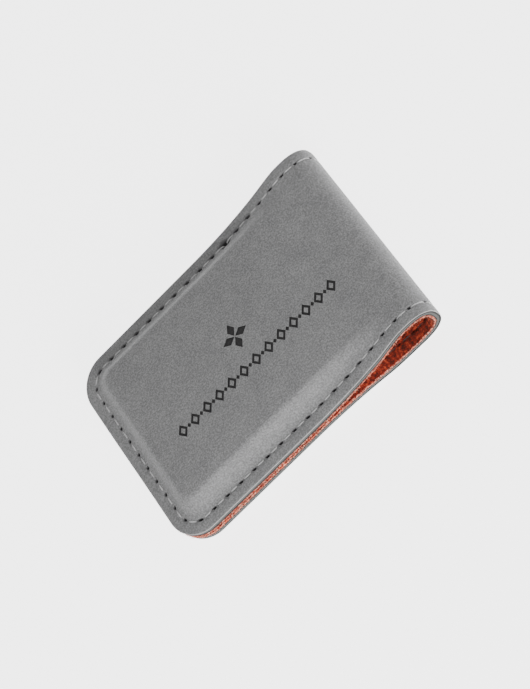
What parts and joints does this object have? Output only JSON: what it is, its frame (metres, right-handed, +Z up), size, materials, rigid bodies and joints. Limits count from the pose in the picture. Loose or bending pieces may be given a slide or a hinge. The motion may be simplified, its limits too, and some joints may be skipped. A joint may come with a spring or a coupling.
{
  "type": "money clip",
  "caption": "Magnetic money clip: a padded, stitched leatherette strip that folds over bank notes, with a soft loop at the fold and magnets hidden in both flaps.",
  "frame": {"origin": "middle of the folded clip on the surface it rests on, under the outer face of the lower padded flap", "axes": "+X from the free ends to the fold, Y across the strip, +Z up through the two flaps"},
  "size_m": [0.0636, 0.0444, 0.0088],
  "materials": {
    "leatherette": "matte",
    "felt": "matte",
    "needle_thread": "matte",
    "bobbin_thread": "matte",
    "foam": "matte",
    "board": "matte",
    "magnet": "satin"
  },
  "bodies": {
    "lower_flap": {"lower_cover": "leatherette", "lower_lining": "felt", "lower_foam_pad": "foam", "lower_magnet_board": "board", "lower_magnet_front": "magnet", "lower_magnet_rear": "magnet", "lower_needle_thread": "needle_thread", "lower_bobbin_thread": "bobbin_thread"},
    "fold_1": {"fold_cover_1": "leatherette", "fold_lining_1": "felt", "fold_needle_thread_left_1": "needle_thread", "fold_needle_thread_right_1": "needle_thread", "fold_bobbin_thread_left_1": "bobbin_thread", "fold_bobbin_thread_right_1": "bobbin_thread"},
    "fold_2": {"fold_cover_2": "leatherette", "fold_lining_2": "felt", "fold_needle_thread_left_2": "needle_thread", "fold_needle_thread_right_2": "needle_thread", "fold_bobbin_thread_left_2": "bobbin_thread", "fold_bobbin_thread_right_2": "bobbin_thread"},
    "fold_3": {"fold_cover_3": "leatherette", "fold_lining_3": "felt", "fold_needle_thread_left_3": "needle_thread", "fold_needle_thread_right_3": "needle_thread", "fold_bobbin_thread_left_3": "bobbin_thread", "fold_bobbin_thread_right_3": "bobbin_thread"},
    "fold_4": {"fold_cover_4": "leatherette", "fold_lining_4": "felt", "fold_needle_thread_left_4": "needle_thread", "fold_needle_thread_right_4": "needle_thread", "fold_bobbin_thread_left_4": "bobbin_thread", "fold_bobbin_thread_right_4": "bobbin_thread"},
    "upper_flap": {"upper_cover": "leatherette", "upper_lining": "felt", "upper_foam_pad": "foam", "upper_magnet_board": "board", "upper_magnet_front": "magnet", "upper_magnet_rear": "magnet", "upper_needle_thread": "needle_thread", "upper_bobbin_thread": "bobbin_thread"}
  },
  "joints": [
    {"name": "unfold_1", "type": "hinge", "parent": "lower_flap", "child": "fold_1", "pos_m": [0.02787, 0, 0.00093], "axis": [0, 1, 0], "range_deg": [0, 36], "stiffness_Nm_per_rad": 0.12},
    {"name": "unfold_2", "type": "hinge", "parent": "fold_1", "child": "fold_2", "pos_m": [0.03041, 0, 0.00277], "axis": [0, 1, 0], "range_deg": [0, 36], "stiffness_Nm_per_rad": 0.12},
    {"name": "unfold_3", "type": "hinge", "parent": "fold_2", "child": "fold_3", "pos_m": [0.03094, 0, 0.0044], "axis": [0, 1, 0], "range_deg": [0, 36], "stiffness_Nm_per_rad": 0.12},
    {"name": "unfold_4", "type": "hinge", "parent": "fold_3", "child": "fold_4", "pos_m": [0.03041, 0, 0.00603], "axis": [0, 1, 0], "range_deg": [0, 36], "stiffness_Nm_per_rad": 0.12},
    {"name": "unfold_5", "type": "hinge", "parent": "fold_4", "child": "upper_flap", "pos_m": [0.02787, 0, 0.00788], "axis": [0, 1, 0], "range_deg": [0, 36], "stiffness_Nm_per_rad": 0.12}
  ]
}
